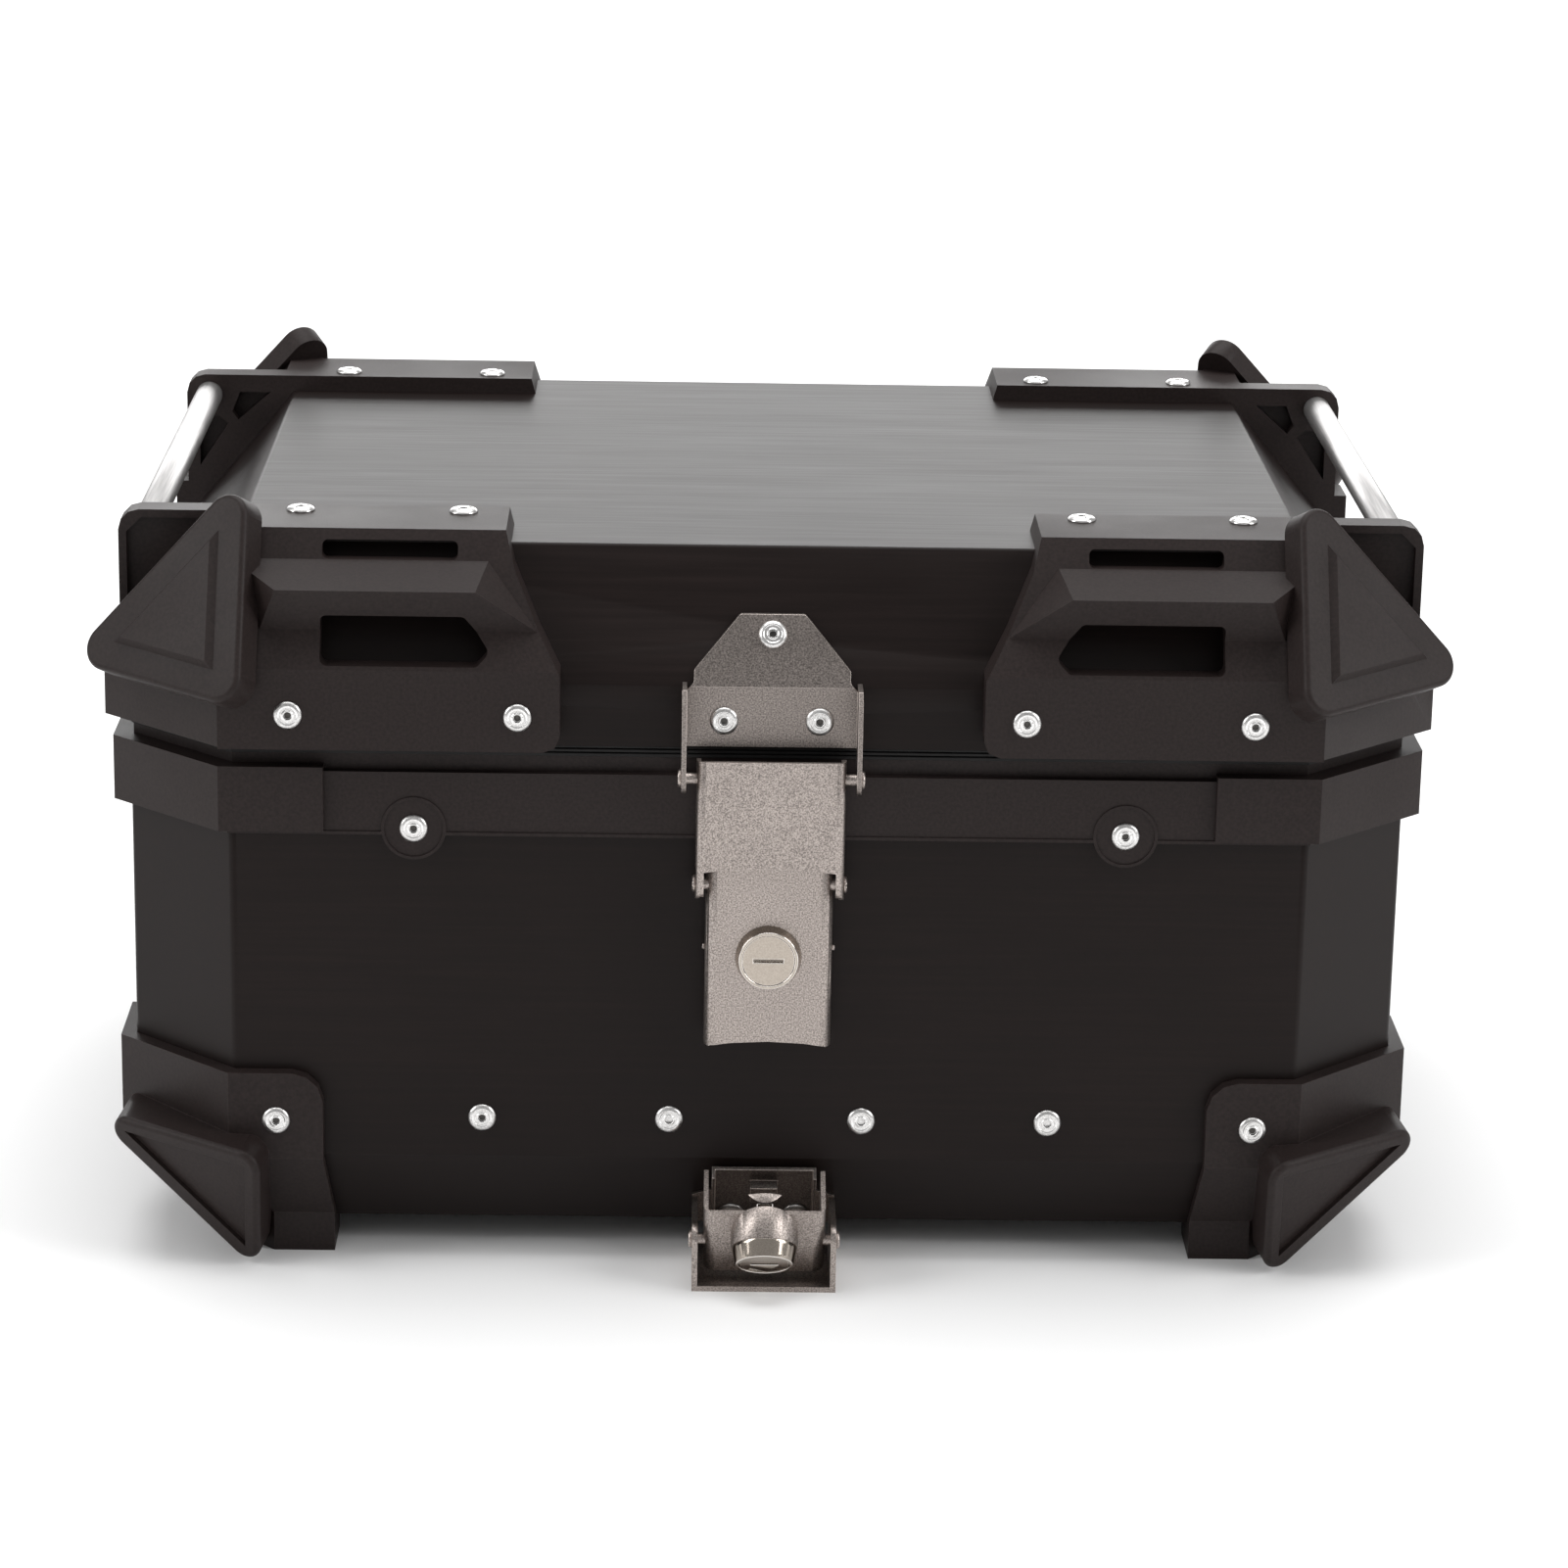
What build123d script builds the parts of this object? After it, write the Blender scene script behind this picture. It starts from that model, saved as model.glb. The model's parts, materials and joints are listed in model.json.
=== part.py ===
from build123d import *
import math
import os

os.makedirs("parts", exist_ok=True)

# Aluminium motorcycle top case: millimetres, +Z up, front (lock side) towards -Y.
# Everything is modelled about the middle of the case, on its standing plane. The finished
# pieces are written ORIGIN_Y further back, so that the origin is under the middle of the
# whole outline, because the mount latch stands out in front.

# ---------------------------------------------------------------- driving dimensions
ORIGIN_Y = 8.0
SHEET = 2.0                      # aluminium sheet of the case and lid
BODY_HALF_X = 280.0
BODY_HALF_Y = 203.5
CORNER_CUT = (48.0, 46.0)        # corner chamfer along X and Y
FLOOR_Z = 14.0                   # underside of the case floor
BEND_Z = 50.0                    # where the wall turns inwards towards the floor
WALL_TOP_Z = 223.0
TUCK = 20.0                      # how far the wall leans in between bend and floor
TRAY_TOP_Z = 80.0

LID_HALF_X = 277.0
LID_HALF_Y = 204.0
LID_BOTTOM_Z = 238.0
LID_BEND_Z = 265.0
LID_TOP_Z = 320.0
LID_TOP_HALF_X = 231.0
LID_TOP_HALF_Y = 174.0

GUARD_HALF_X = 290.0             # lid corner guards
GUARD_HALF_Y = 218.0
GUARD_BOTTOM_Z = 238.6
GUARD_BEND_Z = 274.0
FLANGE_TOP_Z = 327.5
FLANGE_FRONT_Y = 183.0
FLANGE_BACK_Y = 139.0
ARM_END_X = 284.0
GUARD_WALL = 5.0
TUBE_X = 273.0
TUBE_Z = 317.5
TUBE_D = 12.8

RIVET_HEAD_D = 12.3              # large-flange 4.8 mm blind rivet
RIVET_SHANK_D = 4.8
RIVET_HOLE_D = 5.0
HEAD_ROOM_R = 7.2                # radius kept free round a rivet head

HINGE_Y = 214.5
HINGE_Z = 235.5
HINGE_X = 52.0
HINGE_WIDTH = 60.0

LINK_PIN_Y = -215.5
LINK_PIN_Z = 227.5
HANDLE_PIN_Y = -214.0
HANDLE_PIN_Z = 180.0
LATCH_PIN_D = 5.0
LATCH_RUN = 0.06                 # radial running clearance of every latch pin
LOCK_Z = 148.0

LEVER_PIN_Y = -228.0
LEVER_PIN_Z = 21.7
LEVER_TILT = 25.0                # lean of the mount lever's face from upright
MOUNT_LOCK_TILT = 50.0           # the mount lock points this far below level

FRONT = (0, -1, 0)
BACK = (0, 1, 0)
UP = (0, 0, 1)
DOWN = (0, 0, -1)
RIGHT = (1, 0, 0)


# ---------------------------------------------------------------- outlines and placing
def octagon(half_x, half_y, cut=CORNER_CUT, inset=0.0):
    """Corner points of a rectangle with cut corners, moved inwards by inset."""
    cut_x, cut_y = cut
    length = math.hypot(cut_x, cut_y)
    in_x = cut_x - inset + inset * (length - cut_x) / cut_y
    in_y = cut_y - inset + inset * (length - cut_y) / cut_x
    half_x -= inset
    half_y -= inset
    return [
        (half_x, half_y - in_y),
        (half_x - in_x, half_y),
        (-half_x + in_x, half_y),
        (-half_x, half_y - in_y),
        (-half_x, -half_y + in_y),
        (-half_x + in_x, -half_y),
        (half_x - in_x, -half_y),
        (half_x, -half_y + in_y),
    ]


def scaled_cut(factor):
    return CORNER_CUT[0] * factor, CORNER_CUT[1] * factor


def at(x, y, z, direction):
    """A place on a face, whose local Z is the outward direction given."""
    return Plane(origin=(x, y, z), z_dir=direction).location


def prism(low_z, high_z, half_x, half_y, cut=CORNER_CUT, inset=0.0):
    with BuildPart() as solid:
        with BuildSketch(Plane.XY.offset(low_z)):
            Polygon(*octagon(half_x, half_y, cut, inset), align=None)
        extrude(amount=high_z - low_z)
    return solid.part


def frustum(low_z, low, high_z, high):
    """Loft between two octagons, each given as (half_x, half_y, cut, inset)."""
    with BuildPart() as solid:
        with BuildSketch(Plane.XY.offset(low_z)):
            Polygon(*octagon(*low), align=None)
        with BuildSketch(Plane.XY.offset(high_z)):
            Polygon(*octagon(*high), align=None)
        loft(ruled=True)
    return solid.part


def body_stack(inset, top_z, floor_z=FLOOR_Z):
    """The case's outer form moved inwards by inset: upright wall over a leaning skirt."""
    lean = (BEND_Z - floor_z) / (BEND_Z - FLOOR_Z) * TUCK
    with BuildPart() as stack:
        add(prism(BEND_Z, top_z, BODY_HALF_X, BODY_HALF_Y, CORNER_CUT, inset))
        add(frustum(
            floor_z, (BODY_HALF_X - lean, BODY_HALF_Y - lean, CORNER_CUT, inset),
            BEND_Z, (BODY_HALF_X, BODY_HALF_Y, CORNER_CUT, inset),
        ))
    return stack.part


def lid_form():
    """Solid outer form of the lid, without rounded edges."""
    with BuildPart() as form:
        add(prism(LID_BOTTOM_Z, LID_BEND_Z, LID_HALF_X, LID_HALF_Y))
        add(frustum(
            LID_BEND_Z, (LID_HALF_X, LID_HALF_Y, CORNER_CUT, 0.0),
            LID_TOP_Z, (LID_TOP_HALF_X, LID_TOP_HALF_Y, scaled_cut(0.62), 0.0),
        ))
    return form.part


def lid_inside():
    """Solid inner form of the lid, one sheet thickness inside the outer form."""
    rise = LID_TOP_Z - LID_BEND_Z
    run_x = LID_HALF_X - LID_TOP_HALF_X
    run_y = LID_HALF_Y - LID_TOP_HALF_Y
    in_x = SHEET * math.hypot(rise, run_x) / rise
    in_y = SHEET * math.hypot(rise, run_y) / rise
    top_x = LID_TOP_HALF_X + SHEET * run_x / rise - in_x
    top_y = LID_TOP_HALF_Y + SHEET * run_y / rise - in_y
    with BuildPart() as form:
        add(prism(LID_BOTTOM_Z, LID_BEND_Z, LID_HALF_X, LID_HALF_Y, CORNER_CUT, SHEET))
        add(frustum(
            LID_BEND_Z, (LID_HALF_X - in_x, LID_HALF_Y - in_y, scaled_cut(0.98), 0.0),
            LID_TOP_Z - SHEET, (top_x, top_y, scaled_cut(0.62), 0.0),
        ))
    return form.part


def side_profile(points, from_x, to_x):
    """Solid with the outline points (y, z), running along X."""
    with BuildPart() as solid:
        with BuildSketch(Plane.YZ.offset(from_x)):
            Polygon(*points, align=None)
        extrude(amount=to_x - from_x)
    return solid.part


def front_profile(points, from_y, to_y):
    """Solid with the outline points (x, z), running along Y."""
    with BuildPart() as solid:
        with BuildSketch(Plane.XZ.offset(-from_y)):
            Polygon(*points, align=None)
        extrude(amount=from_y - to_y)
    return solid.part


def pin_between(x_from, x_to, y, z, diameter, head_d=0.0, head_t=0.0):
    """Pin along X, with a head outside its x_to end when head_t is given."""
    step = 1 if x_to > x_from else -1
    with BuildPart() as pin:
        with BuildSketch(Plane.YZ.offset(x_from)):
            with Locations((y, z)):
                Circle(diameter / 2)
        extrude(amount=x_to - x_from)
        if head_t:
            with BuildSketch(Plane.YZ.offset(x_to)):
                with Locations((y, z)):
                    Circle(head_d / 2)
            extrude(amount=step * head_t, taper=12)
    return pin.part


def rivet(grip):
    """Blind rivet along Z: dished head on Z=0, shank through grip, pulled bulb behind it."""
    head_r = RIVET_HEAD_D / 2
    shank_r = RIVET_SHANK_D / 2
    dish_r = 0.62 * head_r
    with BuildPart() as body:
        with BuildSketch(Plane.XZ):
            with BuildLine():
                Polyline((0, 0.4), (1.7, 0.4), (1.7, 1.9), (2.3, 1.9), (2.6, 1.5), (dish_r, 1.5),
                         (dish_r + 0.3, 1.8))
                ThreePointArc((dish_r + 0.3, 1.8), (5.4, 1.35), (head_r, 0.45))
                Polyline((head_r, 0.45), (head_r, 0), (shank_r, 0), (shank_r, -grip))
                ThreePointArc((shank_r, -grip), (3.7, -grip - 2.0), (2.0, -grip - 4.2))
                Polyline((2.0, -grip - 4.2), (0, -grip - 4.2), (0, 0.4))
            make_face()
        revolve(axis=Axis.Z)
    return body.part


def finish(part, label):
    """Moves a piece from the case's middle to the part's origin and writes it."""
    placed = part.moved(Location((0, ORIGIN_Y, 0)))
    placed.label = label
    export_step(placed, f"parts/{label}.step")


def group(label, piece, places):
    """One node of identical separate solids."""
    with BuildPart() as many:
        with Locations(*places):
            add(piece)
    finish(many.part, label)


def to_all_corners(label_stem, piece):
    """Copies a front right piece to the four corners, each as its own node."""
    with BuildPart() as front_right:
        add(piece)
    with BuildPart() as front_left:
        mirror(piece, about=Plane.YZ)
    with BuildPart() as rear_right:
        mirror(piece, about=Plane.XZ)
    with BuildPart() as rear_left:
        add(piece, rotation=(0, 0, 180))
    corners = {
        "front_right": front_right,
        "front_left": front_left,
        "rear_right": rear_right,
        "rear_left": rear_left,
    }
    for corner, built in corners.items():
        finish(built.part, f"{label_stem}_{corner}")


# ---------------------------------------------------------------- rivet places
BODY_ROW_X = (-124.1, -42.2, 42.2, 124.1)
BODY_ROW_Z = 68.0
SIDE_ROW_Y = (-60.0, 60.0)
body_row_places = [
    at(x, side * BODY_HALF_Y, BODY_ROW_Z, (0, side, 0)) for side in (-1, 1) for x in BODY_ROW_X
] + [
    at(side * BODY_HALF_X, y, BODY_ROW_Z, (side, 0, 0)) for side in (-1, 1) for y in SIDE_ROW_Y
]

RIM_PROUD = 3.0
RIM_BOSS_X = 153.4
RIM_BOSS_Z = 201.0
RIM_SIDE_Y = 78.0
rim_places = [
    at(x, side * (BODY_HALF_Y + RIM_PROUD), RIM_BOSS_Z, (0, side, 0))
    for side in (-1, 1) for x in (-RIM_BOSS_X, RIM_BOSS_X)
] + [
    at(side * (BODY_HALF_X + RIM_PROUD), y, RIM_BOSS_Z, (side, 0, 0))
    for side in (-1, 1) for y in (-RIM_SIDE_Y, RIM_SIDE_Y)
]

FOOT_WALL = 6.6                  # the body guards stand this far off the wall
FOOT_RIVET_X = 213.8
FOOT_RIVET_Y = 137.0
foot_rivet_places = []
for sx in (-1, 1):
    for sy in (-1, 1):
        foot_rivet_places.append(at(sx * FOOT_RIVET_X, sy * (BODY_HALF_Y + FOOT_WALL),
                                    BODY_ROW_Z, (0, sy, 0)))
        foot_rivet_places.append(at(sx * (BODY_HALF_X + FOOT_WALL), sy * FOOT_RIVET_Y,
                                    BODY_ROW_Z, (sx, 0, 0)))

FACE_RIVET_X = (108.5, 206.0)
FACE_RIVET_Z = 254.0
TOP_RIVET_X = (134.4, 205.0)
TOP_RIVET_Y = 149.6
face_rivet_places = [
    at(sx * x, sy * GUARD_HALF_Y, FACE_RIVET_Z, (0, sy, 0))
    for sx in (-1, 1) for sy in (-1, 1) for x in FACE_RIVET_X
]
top_rivet_places = [
    at(sx * x, sy * TOP_RIVET_Y, FLANGE_TOP_Z, UP)
    for sx in (-1, 1) for sy in (-1, 1) for x in TOP_RIVET_X
]

# ---------------------------------------------------------------- hinge and latch places
HINGE_LEAF_T = 2.0
HINGE_RIVET_DX = 18.0
BODY_LEAF_RIVET_Z = 208.0
LID_LEAF_RIVET_Z = 254.0
hinge_body_rivet_places = [
    at(side * HINGE_X + dx, BODY_HALF_Y + RIM_PROUD + HINGE_LEAF_T, BODY_LEAF_RIVET_Z, BACK)
    for side in (-1, 1) for dx in (-HINGE_RIVET_DX, HINGE_RIVET_DX)
]
hinge_lid_rivet_places = [
    at(side * HINGE_X + dx, LID_HALF_Y + HINGE_LEAF_T, LID_LEAF_RIVET_Z, BACK)
    for side in (-1, 1) for dx in (-HINGE_RIVET_DX, HINGE_RIVET_DX)
]

PLATE = 2.0                      # stainless sheet of the latches
SLOPE = math.atan2(LID_HALF_Y - LID_TOP_HALF_Y, LID_TOP_Z - LID_BEND_Z)
slope_normal = (0, -math.cos(SLOPE), math.sin(SLOPE))


def on_slope(z, proud=0.0):
    """Y and Z of a point on the lid's front slope, lifted off it by proud."""
    y = -LID_HALF_Y + (z - LID_BEND_Z) * math.tan(SLOPE)
    return y - proud * math.cos(SLOPE), z + proud * math.sin(SLOPE)


BRACKET_TOP_Z = 293.8
top_bracket_y, top_bracket_z = on_slope(285.0, PLATE)
bracket_rivet_places = [
    at(0, top_bracket_y, top_bracket_z, slope_normal),
    at(-20.5, -LID_HALF_Y - PLATE, 250.5, FRONT),
    at(20.5, -LID_HALF_Y - PLATE, 250.5, FRONT),
]
KEEPER_RIVET_Z = (133.0, 163.0)
keeper_rivet_places = [at(-16.0, -BODY_HALF_Y - PLATE, z, FRONT) for z in KEEPER_RIVET_Z]

LEAN = math.atan2(TUCK, BEND_Z - FLOOR_Z)
lean_normal = (0, -math.cos(LEAN), -math.sin(LEAN))


def on_lean(z, proud=0.0):
    """Y and Z of a point on the leaning skirt at the front, lifted off it by proud."""
    y = -BODY_HALF_Y + (BEND_Z - z) * math.tan(LEAN)
    return y - proud * math.cos(LEAN), z - proud * math.sin(LEAN)


STRIKE_T = 2.0
strike_rivet_y, strike_rivet_z = on_lean(21.5, PLATE + STRIKE_T)
strike_rivet_places = [at(x, strike_rivet_y, strike_rivet_z, lean_normal) for x in (-14.5, 14.5)]

HOOK_X = 120.0
HOOK_HALF_W = 18.0
hook_rivet_places = [at(side * HOOK_X + dx, 135.0, FLOOR_Z - PLATE, DOWN)
                     for side in (-1, 1) for dx in (-9.0, 9.0)]

# ================================================================ case
with BuildPart() as body_wall:
    add(body_stack(0.0, WALL_TOP_Z))
    corner_edges = body_wall.edges().filter_by(Axis.Z).group_by(Edge.length)[-1]
    fillet(corner_edges, radius=5.0)
    add(body_stack(SHEET, WALL_TOP_Z), mode=Mode.SUBTRACT)
    with Locations(*body_row_places, *rim_places, *foot_rivet_places, *keeper_rivet_places,
                   *hinge_body_rivet_places, *strike_rivet_places):
        Hole(RIVET_HOLE_D / 2, depth=22)
finish(body_wall.part, "body_wall")

with BuildPart() as bottom_tray:
    add(body_stack(SHEET, TRAY_TOP_Z))
    add(prism(BEND_Z, TRAY_TOP_Z, BODY_HALF_X, BODY_HALF_Y, CORNER_CUT, 2 * SHEET),
        mode=Mode.SUBTRACT)
    tray_lean = TUCK * (BEND_Z - FLOOR_Z - SHEET) / (BEND_Z - FLOOR_Z)
    add(frustum(
        FLOOR_Z + SHEET, (BODY_HALF_X - tray_lean, BODY_HALF_Y - tray_lean, CORNER_CUT, 2 * SHEET),
        BEND_Z, (BODY_HALF_X, BODY_HALF_Y, CORNER_CUT, 2 * SHEET),
    ), mode=Mode.SUBTRACT)
    with Locations(*body_row_places, *foot_rivet_places, *strike_rivet_places,
                   *hook_rivet_places):
        Hole(RIVET_HOLE_D / 2, depth=22)
finish(bottom_tray.part, "bottom_tray")

# Collar that covers the wall's upper edge, with raised blocks at the corners.
RIM_BOTTOM_Z = 198.0
RIM_LEDGE_Z = 226.0
LIP_TOP_Z = 233.0
BLOCK_END_X = 192.0
BLOCK_END_Y = 116.0
RIM_BOSS_R = 14.0
RIM_LIP_T = 1.4                  # thickness of the lip along the collar's lower edge
RIM_RIB_H = 0.7                  # the lip and the ring round each boss stand this proud
RIM_RIB_W = 1.3
with BuildPart() as corner_blocks:
    add(prism(RIM_BOTTOM_Z + 1.5, RIM_LEDGE_Z + 2.5, 287.0, 209.8, (50.0, 47.9)))
    Box(2 * BLOCK_END_X, 600, 1000, mode=Mode.SUBTRACT)
    Box(800, 2 * BLOCK_END_Y, 1000, mode=Mode.SUBTRACT)

with BuildPart() as rim_collar:
    add(prism(RIM_BOTTOM_Z, RIM_LEDGE_Z, BODY_HALF_X, BODY_HALF_Y, CORNER_CUT, -RIM_PROUD))
    add(prism(RIM_BOTTOM_Z, RIM_BOTTOM_Z + RIM_LIP_T, BODY_HALF_X, BODY_HALF_Y, CORNER_CUT,
              -RIM_PROUD - RIM_RIB_H))
    with Locations((-HINGE_X, BODY_HALF_Y + RIM_PROUD), (HINGE_X, BODY_HALF_Y + RIM_PROUD)):
        Box(HINGE_WIDTH + 2, 2 * RIM_PROUD, 1000,
            align=(Align.CENTER, Align.MIN, Align.CENTER), mode=Mode.SUBTRACT)
    with Locations(*rim_places):
        Cylinder(RIM_BOSS_R, RIM_PROUD, align=(Align.CENTER, Align.CENTER, Align.MAX))
        Cylinder(RIM_BOSS_R, RIM_RIB_H, align=(Align.CENTER, Align.CENTER, Align.MIN))
        Cylinder(RIM_BOSS_R - RIM_RIB_W, RIM_RIB_H, align=(Align.CENTER, Align.CENTER, Align.MIN),
                 mode=Mode.SUBTRACT)
    add(corner_blocks.part)
    add(prism(RIM_LEDGE_Z, LIP_TOP_Z, BODY_HALF_X, BODY_HALF_Y, CORNER_CUT, 1.5))
    add(prism(0, WALL_TOP_Z, BODY_HALF_X, BODY_HALF_Y), mode=Mode.SUBTRACT)
    add(prism(RIM_BOTTOM_Z + 6, WALL_TOP_Z, BODY_HALF_X, BODY_HALF_Y, CORNER_CUT, SHEET))
    add(prism(0, 400, BODY_HALF_X, BODY_HALF_Y, CORNER_CUT, 7.0), mode=Mode.SUBTRACT)
    with Locations(*rim_places, *hinge_body_rivet_places):
        Hole(RIVET_HOLE_D / 2, depth=22)
finish(rim_collar.part, "rim_collar")

# Rubber seal with three lips, on the collar's upright edge.
with BuildPart() as lid_seal:
    for low_z, high_z, inset in ((233.0, 234.4, 0.6), (234.4, 235.0, 2.4), (235.0, 236.2, 0.6),
                                 (236.2, 236.8, 2.4), (236.8, 237.8, 0.6)):
        add(prism(low_z, high_z, BODY_HALF_X, BODY_HALF_Y, CORNER_CUT, inset))
    add(prism(0, 400, BODY_HALF_X, BODY_HALF_Y, CORNER_CUT, 7.0), mode=Mode.SUBTRACT)
finish(lid_seal.part, "lid_seal")

# Body corner guard with its foot and triangular bumper, front right.
FOOT_INNER_X = 191.0
FLAP_TOP_Z = 89.5
FOOT_BACK_Y = 116.0


BUMPER_SKIN = 6.0
PAD_T = 13.0                     # thickness of the triangular bumper plates
PAD_ROUNDING = 10.5
FOOT_OUTER_X = 238.0
FOOT_DEPTH_Y = 162.0


def triangle_outline(corners):
    """Plane through three corner points, facing outwards, and the corners in it."""
    a, b, c = [Vector(*point) for point in corners]
    face_plane = Plane(origin=(a + b + c) * (1 / 3), x_dir=b - a, z_dir=(b - a).cross(c - a))
    local = [face_plane.to_local_coords(point) for point in (a, b, c)]
    return face_plane, [(point.X, point.Y) for point in local]


def clipped(part, top_z):
    """The part below a height."""
    with BuildPart() as kept:
        add(part)
        with BuildSketch(Plane.XY.offset(top_z)):
            Rectangle(900, 900)
        extrude(amount=200, mode=Mode.SUBTRACT)
    return kept.part


def lid_bumper_pad(corners):
    """Plate with a raised middle, standing on a root that stops below the flange top."""
    face_plane, outline = triangle_outline(corners)
    with BuildPart() as root:
        with BuildSketch(face_plane.offset(-PAD_T + 2)) as base:
            Polygon(*outline, align=None)
            offset(amount=-3.5, kind=Kind.INTERSECTION)
            fillet(base.vertices(), radius=PAD_ROUNDING - 3)
        extrude(amount=-46)
    with BuildPart() as pad:
        add(clipped(root.part, FLANGE_TOP_Z))
        with BuildSketch(face_plane) as plate:
            Polygon(*outline, align=None)
            fillet(plate.vertices(), radius=PAD_ROUNDING)
        extrude(amount=-PAD_T)
        outward = Axis(face_plane.origin, face_plane.z_dir)
        fillet(pad.faces().sort_by(outward)[-1].edges(), radius=2.5)
        with BuildSketch(face_plane):
            Polygon(*outline, align=None)
            offset(amount=-13.0, kind=Kind.INTERSECTION)
        extrude(amount=3.0, taper=40)
    with BuildPart() as core:
        with BuildSketch(face_plane.offset(-BUMPER_SKIN)):
            Polygon(*outline, align=None)
            offset(amount=-BUMPER_SKIN - 3.5, kind=Kind.INTERSECTION)
        extrude(amount=-60)
    return pad.part, clipped(core.part, LID_BEND_Z + 20)


def foot_bumper_pad(corners):
    """Wedge that runs straight back from a slanting triangular face with a sunk middle."""
    face_plane, outline = triangle_outline(corners)
    with BuildPart() as pad:
        with BuildSketch(face_plane) as base:
            Polygon(*outline, align=None)
            fillet(base.vertices(), radius=PAD_ROUNDING - 2)
        extrude(amount=60, dir=(-0.1, 1, 0))
        outward = Axis(face_plane.origin, face_plane.z_dir)
        fillet(pad.faces().sort_by(outward)[-1].edges(), radius=2.5)
        with BuildSketch(face_plane):
            Polygon(*outline, align=None)
            offset(amount=-7.5, kind=Kind.INTERSECTION)
        extrude(amount=-2.2, mode=Mode.SUBTRACT)
    with BuildPart() as core:
        with BuildSketch(face_plane.offset(-BUMPER_SKIN)):
            Polygon(*outline, align=None)
            offset(amount=-BUMPER_SKIN, kind=Kind.INTERSECTION)
        extrude(amount=60, dir=(-0.1, 1, 0))
    return pad.part, core.part


foot_bumper, foot_core = foot_bumper_pad(((300, -190, 65.7), (219, -237, 60.5), (222, -210, -4.5)))

# foot under the front face only
with BuildPart() as foot_block:
    add(prism(0, 18.0, BODY_HALF_X - 17.8, BODY_HALF_Y - 17.8, CORNER_CUT, -FOOT_WALL))
    with BuildSketch(Plane.XY):
        with Locations((FOOT_OUTER_X, -FOOT_DEPTH_Y)):
            Rectangle(80, 60, align=(Align.MAX, Align.MAX))
    extrude(amount=18.0, mode=Mode.INTERSECT)

with BuildPart() as foot_guard:
    add(prism(BEND_Z, FLAP_TOP_Z, BODY_HALF_X, BODY_HALF_Y, CORNER_CUT, -FOOT_WALL))
    add(frustum(
        18.0, (BODY_HALF_X - 17.8, BODY_HALF_Y - 17.8, CORNER_CUT, -FOOT_WALL),
        BEND_Z, (BODY_HALF_X, BODY_HALF_Y, CORNER_CUT, -FOOT_WALL),
    ))
    add(foot_block.part)
    flap = [(FOOT_INNER_X + 16, FLAP_TOP_Z), (FOOT_INNER_X + 9.5, FLAP_TOP_Z - 1.8),
            (FOOT_INNER_X + 4.6, FLAP_TOP_Z - 6.4), (FOOT_INNER_X + 2.4, FLAP_TOP_Z - 13),
            (FOOT_INNER_X + 2.4, 48),
            (FOOT_INNER_X - 1, 18), (FOOT_INNER_X - 1, -1), (320, -1), (320, 95),
            (FOOT_INNER_X + 16, 95)]
    add(front_profile(flap, 0, -400), mode=Mode.INTERSECT)
    with BuildSketch(Plane.XY):
        with Locations((250, -FOOT_BACK_Y)):
            Rectangle(200, 200, align=(Align.CENTER, Align.MAX))
    extrude(amount=200, mode=Mode.INTERSECT)
    add(foot_bumper)
    add(foot_core, mode=Mode.SUBTRACT)
    add(body_stack(0.0, 200.0), mode=Mode.SUBTRACT)
    with BuildSketch(Plane.XY.offset(-20)):
        Rectangle(2 * 246, 2 * FOOT_DEPTH_Y)
    extrude(amount=20 + FLOOR_Z, mode=Mode.SUBTRACT)
    with BuildSketch(Plane.XY.offset(-60)):
        Rectangle(900, 900)
    extrude(amount=60, mode=Mode.SUBTRACT)
    with Locations(at(FOOT_RIVET_X, -BODY_HALF_Y - FOOT_WALL, BODY_ROW_Z, FRONT),
                   at(BODY_HALF_X + FOOT_WALL, -FOOT_RIVET_Y, BODY_ROW_Z, RIGHT)):
        Hole(RIVET_HOLE_D / 2, depth=22)
        Cylinder(HEAD_ROOM_R, 14, align=(Align.CENTER, Align.CENTER, Align.MIN),
                 mode=Mode.SUBTRACT)
to_all_corners("body_guard", foot_guard.part)

group("body_row_rivets", rivet(2 * SHEET), body_row_places)
group("rim_rivets", rivet(RIM_PROUD + 7.0), rim_places)
group("body_guard_rivets", rivet(FOOT_WALL + 2 * SHEET), foot_rivet_places)

# Hooks under the rear of the floor that hold the case to its rack plate.
for side, x in (("left", -HOOK_X), ("right", HOOK_X)):
    with BuildPart() as rear_mount_hook:
        add(side_profile([(124, FLOOR_Z), (124, FLOOR_Z - PLATE), (148, FLOOR_Z - PLATE), (148, 3),
                          (168, 3), (168, 5), (150, 5), (150, FLOOR_Z)],
                         x - HOOK_HALF_W, x + HOOK_HALF_W))
        with Locations(*hook_rivet_places):
            Hole(RIVET_HOLE_D / 2, depth=6)
    finish(rear_mount_hook.part, f"rear_mount_hook_{side}")
group("hook_rivets", rivet(PLATE + SHEET), hook_rivet_places)

# ================================================================ lid
lid_solid = lid_form()
with BuildPart() as lid_shell:
    add(lid_solid)
    fillet(lid_shell.edges().group_by(Axis.Z)[-1], radius=1.8)
    add(lid_inside(), mode=Mode.SUBTRACT)
    with Locations(*face_rivet_places, *top_rivet_places, *bracket_rivet_places,
                   *hinge_lid_rivet_places):
        Hole(RIVET_HOLE_D / 2, depth=24)
finish(lid_shell.part, "lid_shell")

# Lid corner guard, front right: band, sloping face with a strap bar, flange and gusset.
inner_edge = [(99.0, 230.0), (97.5, GUARD_BOTTOM_Z), (92.6, 240.6), (90.5, 245.5), (90.6, 272.5),
              (99.8, 289.0), (110.9, 313.0), (118.0, 340.0)]


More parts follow.
